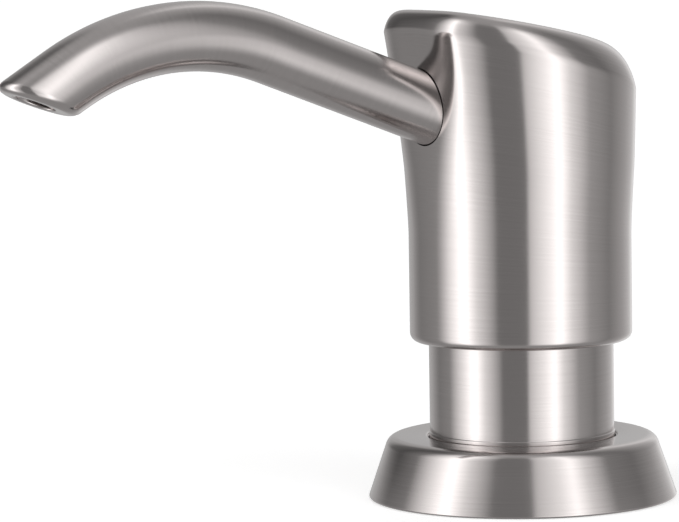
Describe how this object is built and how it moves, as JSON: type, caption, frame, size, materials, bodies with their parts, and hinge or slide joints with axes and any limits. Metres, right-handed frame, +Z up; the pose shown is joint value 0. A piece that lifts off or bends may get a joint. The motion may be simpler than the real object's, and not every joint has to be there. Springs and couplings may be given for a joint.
{
  "type": "soap pump dispenser",
  "caption": "Deck-mounted soap pump: pressed, swivelling head with a long curved spout over a collar and sloping flange; threaded shank, clamp nut and piston pump below the deck.",
  "frame": {"origin": "on the pump's axis, in the plane of the worktop's upper face", "axes": "+Z up along the pump's axis, -Y along the spout, +X to the right of someone who stands before the spout and looks back at the head, along +Y"},
  "size_m": [0.0534, 0.1281, 0.1599],
  "materials": {
    "nickel": "brushed nickel, fine grain running round each piece",
    "steel": "plain stainless steel",
    "dark_steel": "blackened steel",
    "white_plastic": "moulded polypropylene",
    "black_plastic": "moulded plastic, satin",
    "grey_plastic": "moulded plastic, satin",
    "rubber": "matt black rubber",
    "clear_tube": "milky polyethylene hose"
  },
  "bodies": {
    "base": {"base_flange": "nickel", "collar": "nickel", "base_gasket": "rubber", "threaded_shank": "grey_plastic", "pump_gasket": "rubber", "pump_cylinder": "white_plastic", "closure_cap": "black_plastic", "stem_bushing": "white_plastic", "stem_seal": "rubber", "inlet_cage": "black_plastic", "return_spring": "steel"},
    "plunger": {"piston_stem": "steel", "piston": "white_plastic", "piston_seal": "rubber"},
    "head": {"head_shell": "nickel", "head_core": "white_plastic", "core_screw_left": "steel", "core_screw_right": "steel", "spout_set_screw": "dark_steel", "spout_tube": "nickel", "spout_liner": "clear_tube", "spout_nozzle": "nickel", "skirt_guide_ring": "white_plastic", "stem_o_ring": "rubber"},
    "outlet_valve": {"outlet_ball": "steel"},
    "inlet_valve": {"inlet_ball": "steel"},
    "clamp": {"clamp_gasket": "rubber", "clamp_washer": "steel"},
    "nut": {"mounting_nut": "black_plastic"}
  },
  "joints": [
    {"name": "head_press", "type": "slide", "parent": "base", "child": "plunger", "axis": [0, 0, -1], "range_m": [0, 0.014], "stiffness_N_per_m": 450, "springref_m": -0.012, "deforming": ["return_spring"]},
    {"name": "head_swivel", "type": "hinge", "parent": "plunger", "child": "head", "pos_m": [0, 0, 0.0577], "axis": [0, 0, 1], "continuous": true},
    {"name": "outlet_valve_lift", "type": "slide", "parent": "plunger", "child": "outlet_valve", "axis": [0, 0, 1], "range_m": [0, 0.0015]},
    {"name": "inlet_valve_lift", "type": "slide", "parent": "base", "child": "inlet_valve", "axis": [0, 0, 1], "range_m": [0, 0.0015]},
    {"name": "clamp_travel", "type": "slide", "parent": "base", "child": "clamp", "axis": [0, 0, -1], "range_m": [-0.029, 0.0161]},
    {"name": "nut_turn", "type": "hinge", "parent": "clamp", "child": "nut", "pos_m": [0, 0, -0.0341], "axis": [0, 0, -1], "range_deg": [-5184, 2880]}
  ],
  "couplings": [
    {"joint": "clamp_travel", "follows": "nut_turn", "m_per_rad": 0.00031831}
  ]
}
